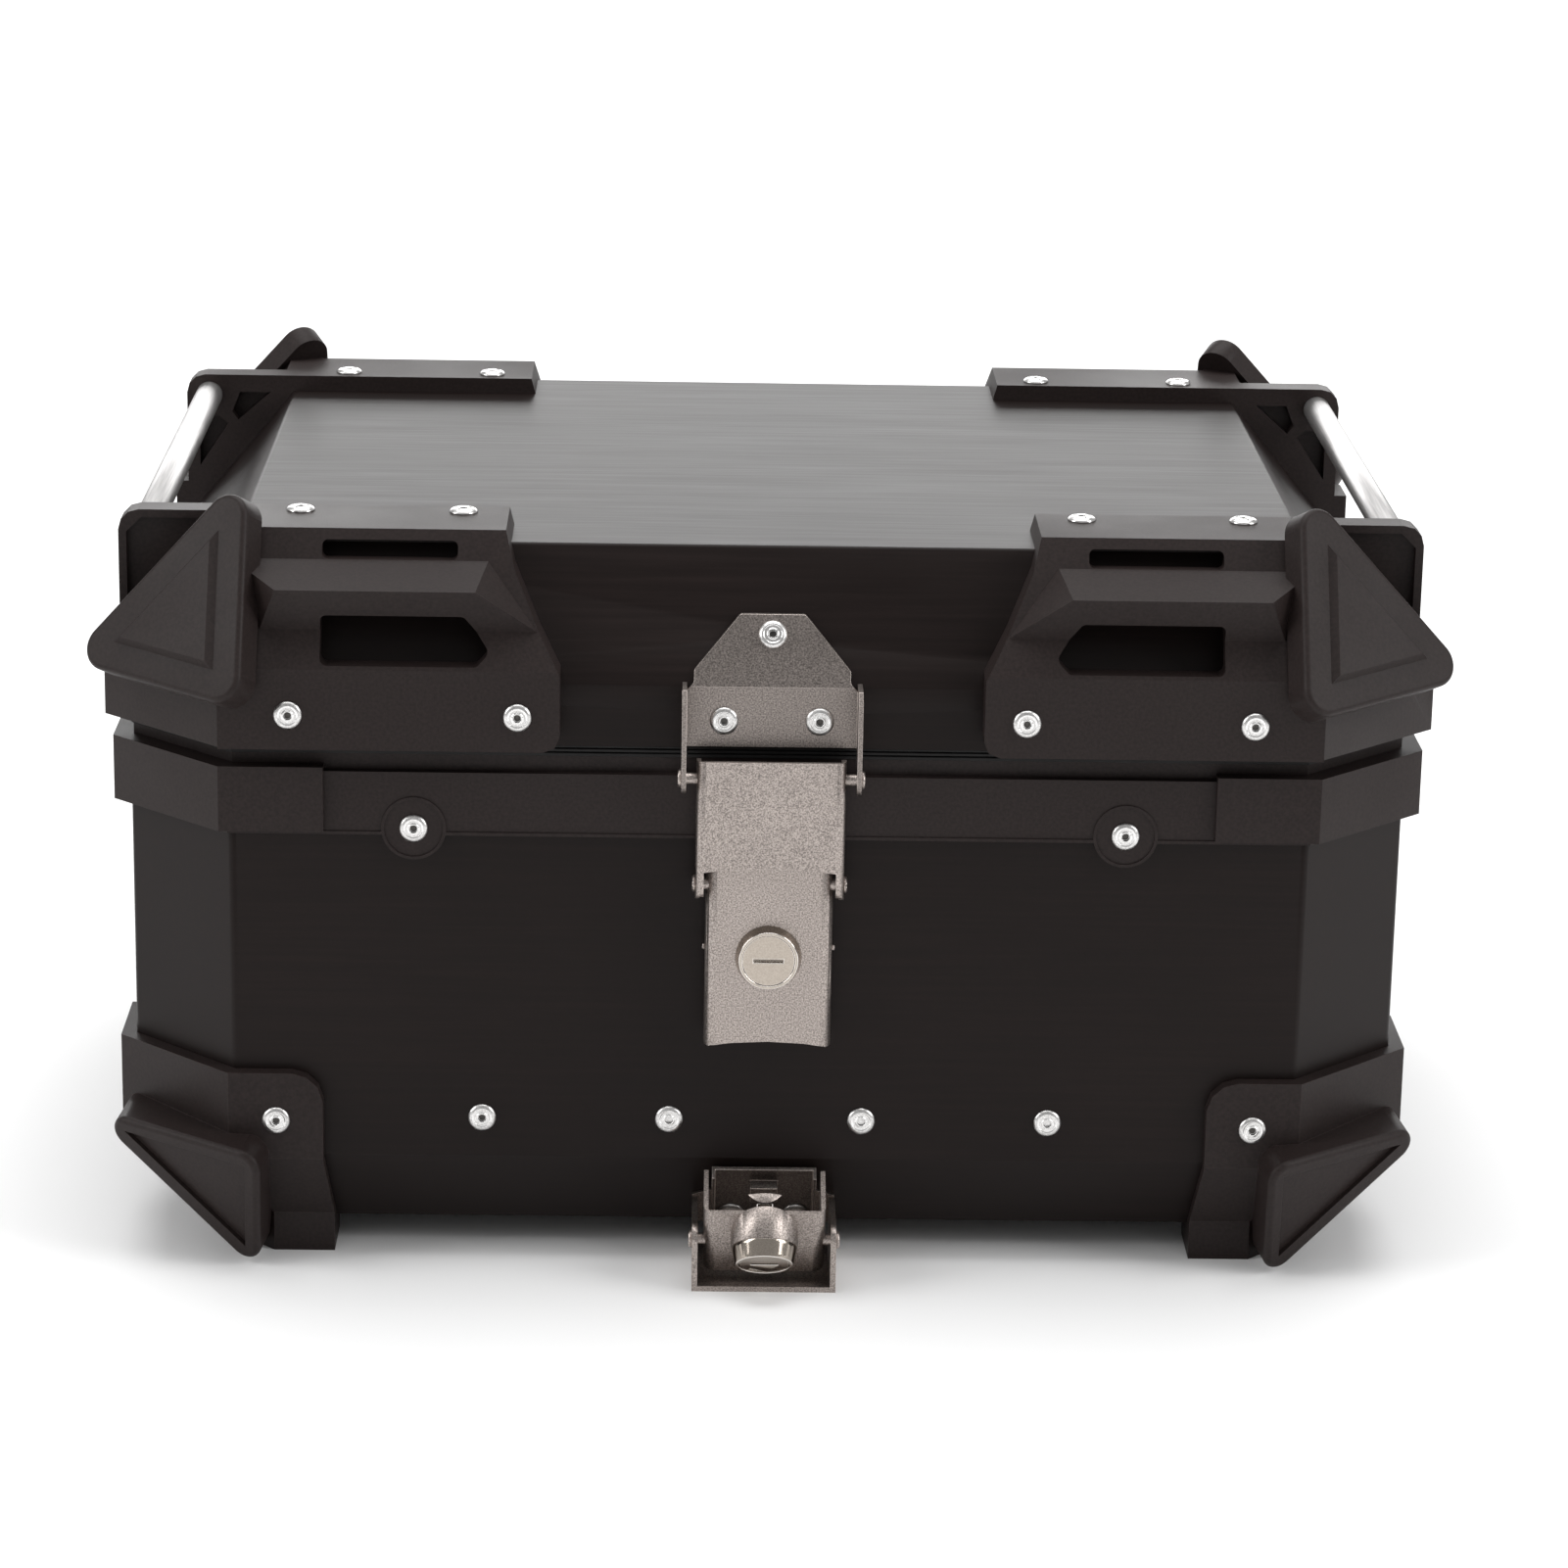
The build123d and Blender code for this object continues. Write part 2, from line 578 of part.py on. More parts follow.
def window(points, rounding, from_y, to_y):
    """Rounded opening with the outline points (x, z), running along Y."""
    with BuildPart() as solid:
        with BuildSketch(Plane.XZ.offset(-from_y)) as outline:
            Polygon(*points, align=None)
            fillet(outline.vertices(), radius=rounding)
        extrude(amount=from_y - to_y)
    return solid.part


def right_of(points, shift):
    """Front outline of everything to the right of a broken line."""
    return [(x + shift, z) for x, z in points] + [(330, points[-1][1]), (330, points[0][1])]


def slope_y(z, proud=0.0):
    """Y of the guard's sloping face at a height."""
    part_way = (z - GUARD_BEND_Z) / (FLANGE_TOP_Z - GUARD_BEND_Z)
    return -GUARD_HALF_Y + part_way * (GUARD_HALF_Y - FLANGE_FRONT_Y) - proud


# hollow behind the sloping face, for a strap
with BuildPart() as strap_cavity:
    add(side_profile([
        (-GUARD_HALF_Y + 6.5, GUARD_BEND_Z - 6), (slope_y(LID_TOP_Z, -6.0), LID_TOP_Z),
        (-FLANGE_BACK_Y - 20, LID_TOP_Z), (-FLANGE_BACK_Y - 20, GUARD_BEND_Z - 6),
    ], 80.0, 226.0))
    add(front_profile(right_of(inner_edge, GUARD_WALL), 0, -300), mode=Mode.INTERSECT)

# bar across the face, its ends cut to slanting facets
BAR_TOP_Z = 315.6
BAR_RIDGE_Z = 308.5
BAR_LOW_Z = 289.0
with BuildPart() as strap_bar:
    add(side_profile([
        (slope_y(BAR_TOP_Z, -4.0), BAR_TOP_Z), (slope_y(BAR_TOP_Z), BAR_TOP_Z),
        (-GUARD_HALF_Y, BAR_RIDGE_Z),
        (slope_y(BAR_LOW_Z), BAR_LOW_Z), (slope_y(BAR_LOW_Z, -4.0), BAR_LOW_Z),
    ], 92.0, 232.0))
    add(front_profile(right_of(inner_edge, 0), 0, -300), mode=Mode.INTERSECT)
    split(bisect_by=Plane(origin=(126.4, -GUARD_HALF_Y, BAR_RIDGE_Z), z_dir=(-0.64, -0.29, 0.71)),
          keep=Keep.BOTTOM)
    split(bisect_by=Plane(origin=(211, -GUARD_HALF_Y, BAR_RIDGE_Z), z_dir=(0.8, -0.6, 0)),
          keep=Keep.BOTTOM)

# band round the corner of the lid
with BuildPart() as corner_band:
    add(prism(GUARD_BOTTOM_Z, GUARD_BEND_Z, GUARD_HALF_X, GUARD_HALF_Y, (57.0, 54.6)))
    add(front_profile([(225, 200), (225, 300), (320, 300), (320, 200)], -FLANGE_BACK_Y, -300),
        mode=Mode.INTERSECT)

lid_bumper, lid_core = lid_bumper_pad(
    ((224.8, -185, 355.7), (225.4, -240, 262.5), (304.2, -185, 268.5)))
with BuildPart() as lid_guard:
    # sloping face and flange, still solid down to the lid
    add(side_profile([
        (-GUARD_HALF_Y, GUARD_BOTTOM_Z), (-GUARD_HALF_Y, GUARD_BEND_Z),
        (-FLANGE_FRONT_Y, FLANGE_TOP_Z), (-FLANGE_BACK_Y, FLANGE_TOP_Z),
        (-FLANGE_BACK_Y, GUARD_BOTTOM_Z),
    ], 80.0, 236.0))
    add(front_profile(right_of(inner_edge, 0), 0, -300), mode=Mode.INTERSECT)
    add(strap_cavity.part, mode=Mode.SUBTRACT)
    add(strap_bar.part)
    # windows above and below the bar
    add(window([(135, BAR_TOP_Z), (193, BAR_TOP_Z), (193, 323.2), (135, 323.2)], 2.5, -176, -230),
        mode=Mode.SUBTRACT)
    add(window([(120.5, 281), (126, 275.5), (192.5, 275.5), (192.5, 296.3), (131.5, 296.3)],
               3.0, -190, -230), mode=Mode.SUBTRACT)
    add(corner_band.part)
    # gusset and arm end that hold the tube
    arm = [(225, GUARD_BEND_Z - 10), (225, FLANGE_TOP_Z), (ARM_END_X - 9, FLANGE_TOP_Z),
           (ARM_END_X - 4.5, FLANGE_TOP_Z - 1.2), (ARM_END_X - 1.2, FLANGE_TOP_Z - 4.5),
           (ARM_END_X, FLANGE_TOP_Z - 9), (ARM_END_X, GUARD_BEND_Z - 10)]
    add(front_profile(arm, -FLANGE_BACK_Y, -FLANGE_BACK_Y - 14))
    front_recess = [(240, 262), (240, FLANGE_TOP_Z - 3.5), (ARM_END_X - 10, FLANGE_TOP_Z - 3.5),
                    (ARM_END_X - 3.5, FLANGE_TOP_Z - 10), (ARM_END_X - 3.5, 262)]
    add(front_profile(front_recess, -FLANGE_BACK_Y - 10, -FLANGE_BACK_Y - 20), mode=Mode.SUBTRACT)
    add(lid_bumper)
    add(lid_core, mode=Mode.SUBTRACT)
    add(lid_solid, mode=Mode.SUBTRACT)
    with BuildSketch(Plane.XY.offset(GUARD_BOTTOM_Z)):
        Rectangle(900, 900)
    extrude(amount=-80, mode=Mode.SUBTRACT)
    # pockets in the gusset, open to the middle of the case
    for pocket in ([(243, 319), (258, 319), (262, 309), (259, 305)],
                   [(264, 303), (268, 307), (278, 306), (278, 282)]):
        add(front_profile(pocket, -FLANGE_BACK_Y + 1, -FLANGE_BACK_Y - 7), mode=Mode.SUBTRACT)
    with BuildSketch(Plane.XZ.offset(FLANGE_BACK_Y)):
        with Locations((TUBE_X, TUBE_Z)):
            Circle(9.5)
    extrude(amount=9)
    with BuildSketch(Plane.XZ.offset(FLANGE_BACK_Y)):
        with Locations((TUBE_X, TUBE_Z)):
            Circle(TUBE_D / 2 + 0.05)
    extrude(amount=8, mode=Mode.SUBTRACT)
    with Locations(*[at(x, -GUARD_HALF_Y, FACE_RIVET_Z, FRONT) for x in FACE_RIVET_X],
                   *[at(x, -TOP_RIVET_Y, FLANGE_TOP_Z, UP) for x in TOP_RIVET_X]):
        Hole(RIVET_HOLE_D / 2, depth=24)
        Cylinder(HEAD_ROOM_R, 14, align=(Align.CENTER, Align.CENTER, Align.MIN),
                 mode=Mode.SUBTRACT)
to_all_corners("lid_guard", lid_guard.part)

for side, x in (("left", -TUBE_X), ("right", TUBE_X)):
    with BuildPart() as handle_tube:
        half_tube = FLANGE_BACK_Y + 7.5
        with BuildSketch(Plane.XZ.offset(-half_tube)):
            with Locations((x, TUBE_Z)):
                Circle(TUBE_D / 2)
                Circle(TUBE_D / 2 - 1.5, mode=Mode.SUBTRACT)
        extrude(amount=2 * half_tube)
    finish(handle_tube.part, f"handle_tube_{side}")

group("lid_guard_face_rivets", rivet(GUARD_HALF_Y - LID_HALF_Y + SHEET), face_rivet_places)
group("lid_guard_top_rivets", rivet(FLANGE_TOP_Z - LID_TOP_Z + SHEET), top_rivet_places)

# ================================================================ rear hinges
KNUCKLE_R = 4.0
HINGE_PIN_R = 2.0
KNUCKLES = 5
KNUCKLE_W = HINGE_WIDTH / KNUCKLES
body_leaf_y = BODY_HALF_Y + RIM_PROUD


def hinge_leaf(centre_x, plate_low_z, plate_high_z, plate_y, web, knuckle_indexes):
    """Leaf plate with the knuckles of the given indexes along the pin."""
    with BuildPart() as leaf:
        with BuildSketch(Plane.YZ.offset(centre_x - HINGE_WIDTH / 2)):
            with Locations((plate_y, plate_low_z)):
                Rectangle(HINGE_LEAF_T, plate_high_z - plate_low_z, align=(Align.MIN, Align.MIN))
        extrude(amount=HINGE_WIDTH)
        for index in knuckle_indexes:
            low_x = centre_x - HINGE_WIDTH / 2 + index * KNUCKLE_W + 0.15
            with BuildSketch(Plane.YZ.offset(low_x)):
                Polygon(*web, align=None)
                with Locations((HINGE_Y, HINGE_Z)):
                    Circle(KNUCKLE_R)
            extrude(amount=KNUCKLE_W - 0.3)
        with BuildSketch(Plane.YZ.offset(centre_x - HINGE_WIDTH / 2)):
            with Locations((HINGE_Y, HINGE_Z)):
                Circle(HINGE_PIN_R + 0.05)
        extrude(amount=HINGE_WIDTH, mode=Mode.SUBTRACT)
    return leaf.part


body_web = [(body_leaf_y, 222), (body_leaf_y + HINGE_LEAF_T, 222), (HINGE_Y + 2.5, 232.5),
            (HINGE_Y - 3.5, 234), (body_leaf_y, 228)]
lid_web = [(LID_HALF_Y + HINGE_LEAF_T, 246.5), (LID_HALF_Y, 246.5), (LID_HALF_Y, 244),
           (HINGE_Y - 3.6, 236.5), (HINGE_Y + 1.5, 239)]
for side, x in (("left", -HINGE_X), ("right", HINGE_X)):
    with BuildPart() as hinge_body_leaf:
        add(hinge_leaf(x, 199.0, 226.0, body_leaf_y, body_web, (0, 2, 4)))
        with Locations(*hinge_body_rivet_places):
            Hole(RIVET_HOLE_D / 2, depth=22)
    finish(hinge_body_leaf.part, f"hinge_body_leaf_{side}")
    with BuildPart() as hinge_lid_leaf:
        add(hinge_leaf(x, 244.0, 263.0, LID_HALF_Y, lid_web, (1, 3)))
        with Locations(*hinge_lid_rivet_places):
            Hole(RIVET_HOLE_D / 2, depth=22)
    finish(hinge_lid_leaf.part, f"hinge_lid_leaf_{side}")
    half = HINGE_WIDTH / 2
    with BuildPart() as hinge_pin:
        add(pin_between(x - half, x + half, HINGE_Y, HINGE_Z, 2 * HINGE_PIN_R, 7.0, 1.2))
    finish(hinge_pin.part, f"hinge_pin_{side}")

group("hinge_body_rivets", rivet(HINGE_LEAF_T + RIM_PROUD + 7.0), hinge_body_rivet_places)
group("hinge_lid_rivets", rivet(HINGE_LEAF_T + SHEET), hinge_lid_rivet_places)

# ================================================================ front latch
EAR_IN_X = 36.5
EAR_OUT_X = 38.5
BRACKET_HALF_X = 33.5
with BuildPart() as latch_bracket:
    bend_y, bend_z = on_slope(LID_BEND_Z)
    lip_y, lip_z = on_slope(BRACKET_TOP_Z)
    over_y, over_z = on_slope(BRACKET_TOP_Z, PLATE)
    corner_z = LID_BEND_Z + PLATE * math.tan(SLOPE / 2)
    add(side_profile([
        (-LID_HALF_Y, LID_BOTTOM_Z + 1), (bend_y, bend_z), (lip_y, lip_z), (over_y, over_z),
        (-LID_HALF_Y - PLATE, corner_z), (-LID_HALF_Y - PLATE, LID_BOTTOM_Z + 1),
    ], -EAR_OUT_X, EAR_OUT_X))
    plate_outline = [
        (-EAR_OUT_X, 230), (EAR_OUT_X, 230), (EAR_OUT_X, 262), (BRACKET_HALF_X, 267),
        (BRACKET_HALF_X, 272), (14.0, BRACKET_TOP_Z), (-14.0, BRACKET_TOP_Z),
        (-BRACKET_HALF_X, 272), (-BRACKET_HALF_X, 267), (-EAR_OUT_X, 262),
    ]
    add(window(plate_outline, 2.4, -100, -300), mode=Mode.INTERSECT)
    for low_x in (-EAR_OUT_X, EAR_IN_X):
        with BuildSketch(Plane.YZ.offset(low_x)):
            Polygon((-LID_HALF_Y, 267), (-LID_HALF_Y, 239.5), (-209, 236), (-209, LINK_PIN_Z),
                    (-222, LINK_PIN_Z), (-222, 262), (-218, 267), align=None)
            with Locations((LINK_PIN_Y, LINK_PIN_Z)):
                Circle(6.5)
                Circle(LATCH_PIN_D / 2, mode=Mode.SUBTRACT)
        extrude(amount=EAR_OUT_X - EAR_IN_X)
    with Locations(*bracket_rivet_places):
        Hole(RIVET_HOLE_D / 2, depth=22)
finish(latch_bracket.part, "latch_bracket")
group("latch_bracket_rivets", rivet(PLATE + SHEET), bracket_rivet_places)

LINK_HALF_X = 32.0
LINK_FACE_Y = -220.5
HANDLE_HALF_X = 27.5
HANDLE_FACE_Y = LINK_FACE_Y + PLATE + 0.5
HANDLE_TOP_Z = 189.0
HANDLE_BOTTOM_Z = 107.0

with BuildPart() as latch_link:
    with BuildSketch(Plane.XY.offset(170)):
        with Locations((0, LINK_FACE_Y)):
            Rectangle(2 * LINK_HALF_X, 12.0, align=(Align.CENTER, Align.MIN))
    extrude(amount=66)
    long_edges = latch_link.edges().filter_by(Axis.Z).group_by(Axis.Y)[0]
    fillet(long_edges, radius=4.0)
    with BuildSketch(Plane.XY.offset(160)):
        with Locations((0, LINK_FACE_Y + PLATE)):
            Rectangle(2 * (LINK_HALF_X - PLATE), 20.0, align=(Align.CENTER, Align.MIN))
    extrude(amount=90, mode=Mode.SUBTRACT)
    with BuildSketch(Plane.YZ.offset(-60)):
        Polygon((-230, 186.5), (-230, 236), (-214, 236), (-210.5, 231.5), (-209.5, LINK_PIN_Z), (-211, 221),
                (-212, 200), (-208, HANDLE_PIN_Z + 2), (-208, HANDLE_PIN_Z),
                (-220.5, HANDLE_PIN_Z), (-220.5, 186.5), align=None)
        with Locations((HANDLE_PIN_Y, HANDLE_PIN_Z)):
            Circle(6.5)
    extrude(amount=120, mode=Mode.INTERSECT)
    # arched lower edge of the plate, clear of the turning handle
    add(front_profile([(-28.4, 150), (-28.4, 186.6), (-18, 188.0), (0, 188.6), (18, 188.0),
                       (28.4, 186.6), (28.4, 150)], -210, -240), mode=Mode.SUBTRACT)
    for pin_y, pin_z in ((LINK_PIN_Y, LINK_PIN_Z), (HANDLE_PIN_Y, HANDLE_PIN_Z)):
        with BuildSketch(Plane.YZ.offset(-60)):
            with Locations((pin_y, pin_z)):
                Circle(LATCH_PIN_D / 2 + LATCH_RUN * (pin_z > 200))
        extrude(amount=120, mode=Mode.SUBTRACT)
finish(latch_link.part, "latch_link")

with BuildPart() as latch_link_pins:
    for sign in (-1, 1):
        add(pin_between(sign * 29.0, sign * EAR_OUT_X, LINK_PIN_Y, LINK_PIN_Z, LATCH_PIN_D, 8.0, 1.6))
finish(latch_link_pins.part, "latch_link_pins")

with BuildPart() as latch_handle_pins:
    for sign in (-1, 1):
        add(pin_between(sign * 24.0, sign * LINK_HALF_X, HANDLE_PIN_Y, HANDLE_PIN_Z,
                        LATCH_PIN_D, 7.5, 1.4))
finish(latch_handle_pins.part, "latch_handle_pins")

with BuildPart() as latch_handle:
    with BuildSketch(Plane.XY.offset(HANDLE_BOTTOM_Z)):
        with Locations((0, HANDLE_FACE_Y)):
            Rectangle(2 * HANDLE_HALF_X, 10.5, align=(Align.CENTER, Align.MIN))
    extrude(amount=HANDLE_TOP_Z - HANDLE_BOTTOM_Z)
    fillet(latch_handle.edges().filter_by(Axis.Z).group_by(Axis.Y)[0], radius=5.0)
    with BuildSketch(Plane.XY.offset(HANDLE_BOTTOM_Z - 5)):
        with Locations((0, HANDLE_FACE_Y + PLATE)):
            Rectangle(2 * (HANDLE_HALF_X - PLATE), 20.0, align=(Align.CENTER, Align.MIN))
    extrude(amount=90, mode=Mode.SUBTRACT)
    # arched lower edge
    add(front_profile([(-25, 100), (-25, 107.3), (-16, 108.6), (0, 109.4), (16, 108.6),
                       (25, 107.3), (25, 100)], -200, -240), mode=Mode.SUBTRACT)
    with BuildSketch(Plane.YZ.offset(-60)):
        Polygon((-240, 100), (-240, HANDLE_TOP_Z), (-212, HANDLE_TOP_Z), (-208, 183),
                (-208, 122), (-214, HANDLE_BOTTOM_Z), (-214, 100), align=None)
    extrude(amount=120, mode=Mode.INTERSECT)
    with BuildSketch(Plane.YZ.offset(-60)):
        with Locations((HANDLE_PIN_Y, HANDLE_PIN_Z)):
            Circle(LATCH_PIN_D / 2 + LATCH_RUN)
    extrude(amount=120, mode=Mode.SUBTRACT)
    with BuildSketch(Plane.XZ.offset(200)):
        with Locations((0, LOCK_Z)):
            Circle(9.55)
    extrude(amount=40, mode=Mode.SUBTRACT)
finish(latch_handle.part, "latch_handle")


def lock_bezel(face, half_base, half_front, height, bore_r, barrel_r, barrel_depth):
    """Bezel cone on a plane, with a barrel behind it and a bore for the plug."""
    with BuildPart() as bezel:
        with BuildSketch(face):
            Circle(half_base)
        with BuildSketch(face.offset(height)):
            Circle(half_front)
        loft()
        with BuildSketch(face):
            Circle(barrel_r)
        extrude(amount=-barrel_depth)
        with BuildSketch(face.offset(height)):
            Circle(bore_r)
        extrude(amount=-3.0, mode=Mode.SUBTRACT)
        with BuildSketch(face.offset(height)):
            Circle(6.05)
        extrude(amount=-height - barrel_depth, mode=Mode.SUBTRACT)
    return bezel.part


def lock_plug(face, height, bore_r, slot_w, total_depth):
    """Turning plug: a disc with a key slot and a shaft that carries the cam."""
    with BuildPart() as plug:
        with BuildSketch(face.offset(height - 0.4)):
            Circle(bore_r - 0.1)
        extrude(amount=-2.5)
        with BuildSketch(face.offset(height - 0.4)):
            Circle(6.0)
        extrude(amount=-total_depth)
        with BuildSketch(face.offset(height - 0.4)):
            Rectangle(slot_w, 1.6)
        extrude(amount=-2.2, mode=Mode.SUBTRACT)
    return plug.part


def lock_nut(face, barrel_r, across, thickness):
    with BuildPart() as nut:
        with BuildSketch(face):
            RegularPolygon(across / 2, 6, major_radius=False)
            Circle(barrel_r + 0.05, mode=Mode.SUBTRACT)
        extrude(amount=-thickness)
    return nut.part


def lock_cam(face, reach, width, thickness):
    """Flat cam pointing along the face plane's local Y, with a round hub."""
    with BuildPart() as cam:
        with BuildSketch(face):
            Circle(width / 2 + 2)
            Rectangle(width, reach, align=(Align.CENTER, Align.MIN))
        extrude(amount=-thickness)
    return cam.part


latch_face = Plane(origin=(0, HANDLE_FACE_Y, LOCK_Z), x_dir=(1, 0, 0), z_dir=FRONT)
finish(lock_bezel(latch_face, 14.5, 12.8, 5.5, 11.4, 9.5, 6.0), "latch_lock_bezel")
finish(lock_nut(latch_face.offset(-PLATE), 9.5, 24.0, 3.5), "latch_lock_nut")
finish(lock_plug(latch_face, 5.5, 11.4, 13.0, 12.0), "latch_lock_plug")
finish(lock_cam(latch_face.offset(-6.9), 21.0, 7.0, 2.0), "latch_lock_cam")

with BuildPart() as handle_side_pins:
    for sign in (-1, 1):
        add(pin_between(sign * HANDLE_HALF_X, sign * (HANDLE_HALF_X + 0.4), -212.5, 151.0,
                        2.6, 2.6, 0.8))
finish(handle_side_pins.part, "handle_side_pins")

with BuildPart() as latch_keeper:
    with BuildSketch(Plane.XZ.offset(BODY_HALF_Y)):
        with Locations((0, 148)):
            Rectangle(49, 44)
    extrude(amount=PLATE)
    with BuildSketch(Plane.XY.offset(142)):
        Polygon((22.5, -BODY_HALF_Y), (24.5, -BODY_HALF_Y), (24.5, -213.6), (15.5, -213.6),
                (15.5, -211.8), (22.5, -211.8), align=None)
    extrude(amount=12)
    with Locations(*keeper_rivet_places):
        Hole(RIVET_HOLE_D / 2, depth=22)
finish(latch_keeper.part, "latch_keeper")
group("keeper_rivets", rivet(PLATE + SHEET), keeper_rivet_places)

# ================================================================ mount under the front edge
STRAP_HALF_X = 31.5
STRAP_T = 2.5
STRAP_FRONT_Y = -236.0
STRAP_FLOOR_T = 2.4
STRAP_ARM_TOP_Z = 29.0
LEVER_HALF_X = 26.5

bracket_low_y, bracket_low_z = on_lean(FLOOR_Z)
bracket_high_y, bracket_high_z = on_lean(43.0)
over_low_y, over_low_z = on_lean(FLOOR_Z, PLATE)
over_high_y, over_high_z = on_lean(43.0, PLATE)
with BuildPart() as mount_bracket:
    add(side_profile([
        (bracket_low_y, bracket_low_z), (bracket_high_y, bracket_high_z),
        (over_high_y, over_high_z), (over_low_y, over_low_z),
    ], -STRAP_HALF_X, STRAP_HALF_X))
    plate_outline = [(-STRAP_HALF_X, 0), (STRAP_HALF_X, 0), (STRAP_HALF_X, STRAP_ARM_TOP_Z),
                     (21, STRAP_ARM_TOP_Z + 4), (21, 60), (-21, 60), (-21, STRAP_ARM_TOP_Z + 4),
                     (-STRAP_HALF_X, STRAP_ARM_TOP_Z)]
    add(front_profile(plate_outline, -100, -300), mode=Mode.INTERSECT)
    for low_x in (-STRAP_HALF_X, STRAP_HALF_X - STRAP_T):
        with BuildSketch(Plane.YZ.offset(low_x)):
            Polygon((STRAP_FRONT_Y, 0), (STRAP_FRONT_Y + 0.7, LEVER_PIN_Z), (LEVER_PIN_Y, STRAP_ARM_TOP_Z),
                    on_lean(STRAP_ARM_TOP_Z, 1.0), (over_low_y, over_low_z), (over_low_y, 0),
                    align=None)
            with Locations((LEVER_PIN_Y, LEVER_PIN_Z)):
                Circle(STRAP_ARM_TOP_Z - LEVER_PIN_Z)
                Circle(LATCH_PIN_D / 2, mode=Mode.SUBTRACT)
        extrude(amount=STRAP_T)
    with BuildSketch(Plane.XY):
        with Locations((0, STRAP_FRONT_Y)):
            Rectangle(2 * STRAP_HALF_X, over_low_y - STRAP_FRONT_Y, align=(Align.CENTER, Align.MIN))
    extrude(amount=STRAP_FLOOR_T)
    with Locations(*strike_rivet_places):
        Hole(RIVET_HOLE_D / 2, depth=22)
finish(mount_bracket.part, "mount_bracket")

# Strike plate with turned-up sides and a hooked tab, riveted over the bracket's back.
STRIKE_HALF_X = 23.0
with BuildPart() as mount_strike:
    strike_low = on_lean(17.0, PLATE)
    strike_high = on_lean(47.0, PLATE)
    front_low = on_lean(17.0, PLATE + STRIKE_T)
    front_high = on_lean(47.0, PLATE + STRIKE_T)
    add(side_profile([strike_low, strike_high, front_high, front_low],
                     -STRIKE_HALF_X, STRIKE_HALF_X))
    side_low = on_lean(22.0, PLATE + 7.0)
    side_high = on_lean(47.0, PLATE + 7.0)
    for low_x in (-STRIKE_HALF_X, STRIKE_HALF_X - 1.5):
        add(side_profile([on_lean(22.0, PLATE), strike_high, side_high, side_low],
                         low_x, low_x + 1.5))
    strike_outline = [(-15, 12), (15, 12), (30, 24), (30, 60), (-30, 60), (-30, 24)]
    add(front_profile(strike_outline, -100, -300), mode=Mode.INTERSECT)
    add(side_profile([
        on_lean(41.0, PLATE + STRIKE_T), on_lean(41.0, PLATE + 7.0), on_lean(33.0, PLATE + 7.0),
        on_lean(33.0, PLATE + 5.6), on_lean(38.8, PLATE + 5.6), on_lean(38.8, PLATE + STRIKE_T),
    ], -6.0, 6.0))
    with Locations(*strike_rivet_places):
        Hole(RIVET_HOLE_D / 2, depth=22)
finish(mount_strike.part, "mount_strike")
group("mount_rivets", rivet(PLATE + STRIKE_T + 2 * SHEET), strike_rivet_places)

# Lever: a channel that leans forward at the top, with the lock through its face.
tilt = math.radians(LEVER_TILT)
lever_down = (0, math.sin(tilt), -math.cos(tilt))
LEVER_TOP = (-241.0, 38.5)
LEVER_LENGTH = 36.0
LEVER_DEPTH = 26.0


def on_lever(down, back):
    """Y and Z of a point down the lever's face from its top edge and back from it."""
    y = LEVER_TOP[0] + down * math.sin(tilt) + back * math.cos(tilt)
    z = LEVER_TOP[1] - down * math.cos(tilt) + back * math.sin(tilt)
    return y, z


# The mount lock points forwards and down from a wedge-shaped seat on the lever.
SEAT_T = 6.8
SEAT_REACH = 20.0
MOUNT_BARREL_R = 8.0
lock_tilt = math.radians(MOUNT_LOCK_TILT)
mount_lock_out = (0, -math.cos(lock_tilt), -math.sin(lock_tilt))
seat_y, seat_z = on_lever(12.0, 0.0)
mount_lock_face = Plane(
    origin=(0, seat_y - SEAT_T * math.cos(lock_tilt), seat_z - SEAT_T * math.sin(lock_tilt)),
    x_dir=(1, 0, 0), z_dir=mount_lock_out)

with BuildPart() as lock_seat:
    with BuildSketch(mount_lock_face):
        Circle(14.6)
    extrude(amount=-SEAT_REACH)
    add(side_profile([on_lever(-5, 0.5), on_lever(60, 0.5), on_lever(60, 40), on_lever(-5, 40)],
                     -40, 40), mode=Mode.SUBTRACT)

lever_side = [on_lever(0, 0), on_lever(LEVER_LENGTH, 0), on_lever(LEVER_LENGTH, 8),
              on_lever(24, 17), on_lever(10, LEVER_DEPTH), on_lever(0, LEVER_DEPTH)]
with BuildPart() as mount_lever:
    add(side_profile(lever_side, -LEVER_HALF_X, LEVER_HALF_X))
    down_edges = mount_lever.edges().filter_by(Axis((0, 0, 0), lever_down))
    fillet(down_edges.group_by(Axis.Y)[0], radius=5.0)
    inside = [on_lever(-5, PLATE), on_lever(60, PLATE), on_lever(60, 60), on_lever(-5, 60)]
    add(side_profile(inside, -LEVER_HALF_X + PLATE, LEVER_HALF_X - PLATE), mode=Mode.SUBTRACT)
    add(lock_seat.part)
    with BuildSketch(Plane.YZ.offset(-60)):
        with Locations((LEVER_PIN_Y, LEVER_PIN_Z)):
            Circle(LATCH_PIN_D / 2 + LATCH_RUN)
    extrude(amount=120, mode=Mode.SUBTRACT)
    with BuildSketch(mount_lock_face.offset(5)):
        Circle(MOUNT_BARREL_R + 0.05)
    extrude(amount=-30, mode=Mode.SUBTRACT)
finish(mount_lever.part, "mount_lever")

